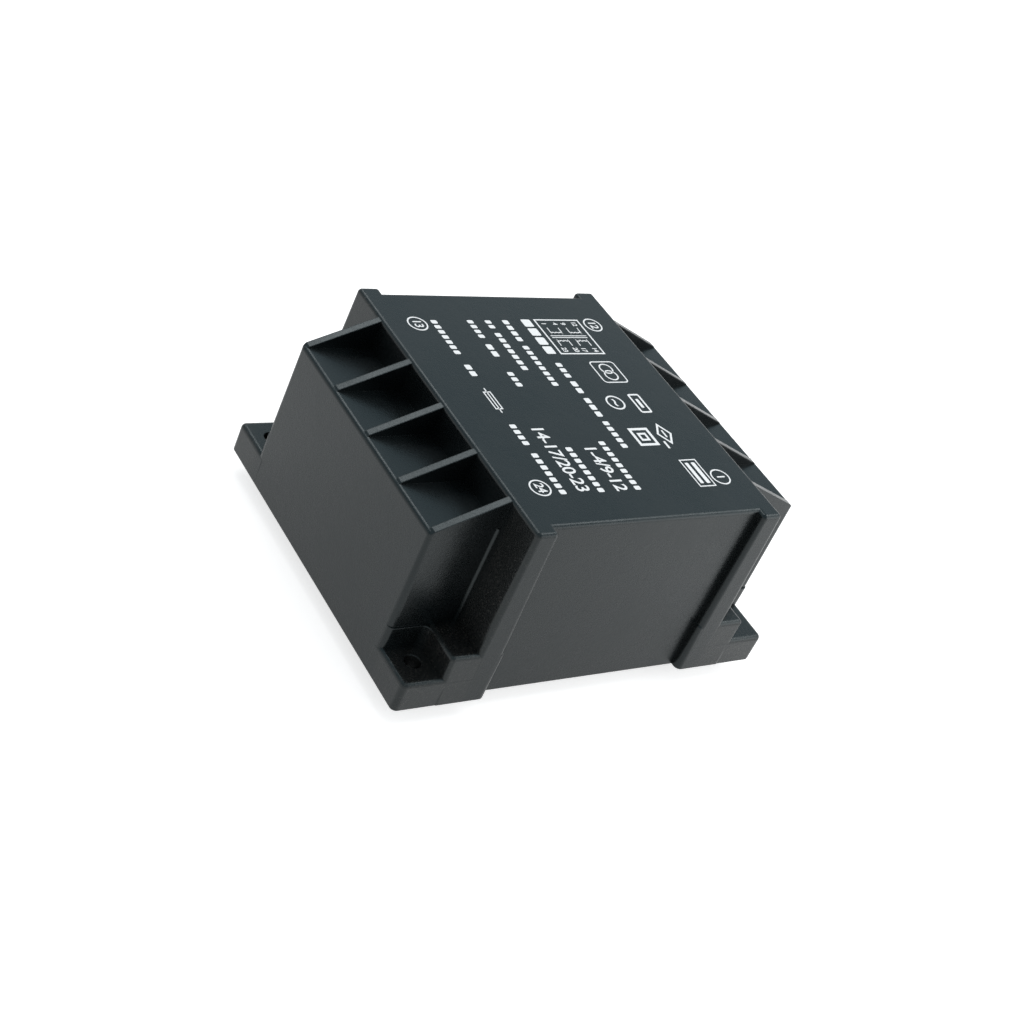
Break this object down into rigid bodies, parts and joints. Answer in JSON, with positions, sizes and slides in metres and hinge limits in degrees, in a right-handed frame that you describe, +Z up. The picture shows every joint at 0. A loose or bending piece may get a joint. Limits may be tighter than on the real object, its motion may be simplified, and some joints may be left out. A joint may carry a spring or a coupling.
{
  "type": "pcb transformer",
  "caption": "Low, resin-filled mains transformer for a circuit board, in a black moulded case with ribbed end boxes, corner fixing lugs and two rows of pins.",
  "frame": {"origin": "centre of the fixing hole pattern, on the plane of the case's lower rim, which is the board's surface", "axes": "+X along the pin rows, towards pin 1; +Y from the secondary pins to the primary pins; +Z up, away from the board"},
  "size_m": [0.0706, 0.084, 0.0424],
  "materials": {
    "case_plastic": "fine satin moulding",
    "resin": "cast resin",
    "laminations": "stacked silicon steel sheets",
    "former_plastic": "glass-filled moulding",
    "winding_wire": "enamelled copper",
    "tape": "polyester film",
    "pin_metal": "tinned wire",
    "print_ink": "pad-printed ink"
  },
  "bodies": {
    "root": {"case": "case_plastic", "potting": "resin", "core_u": "laminations", "core_i": "laminations", "bobbin_left": "former_plastic", "bobbin_right": "former_plastic", "primary_left": "winding_wire", "primary_right": "winding_wire", "secondary_left": "winding_wire", "secondary_right": "winding_wire", "primary_tape_left": "tape", "primary_tape_right": "tape", "secondary_tape_left": "tape", "secondary_tape_right": "tape", "pin_1": "pin_metal", "pin_4": "pin_metal", "pin_9": "pin_metal", "pin_12": "pin_metal", "pin_14": "pin_metal", "pin_17": "pin_metal", "pin_20": "pin_metal", "pin_23": "pin_metal"}
  },
  "joints": []
}
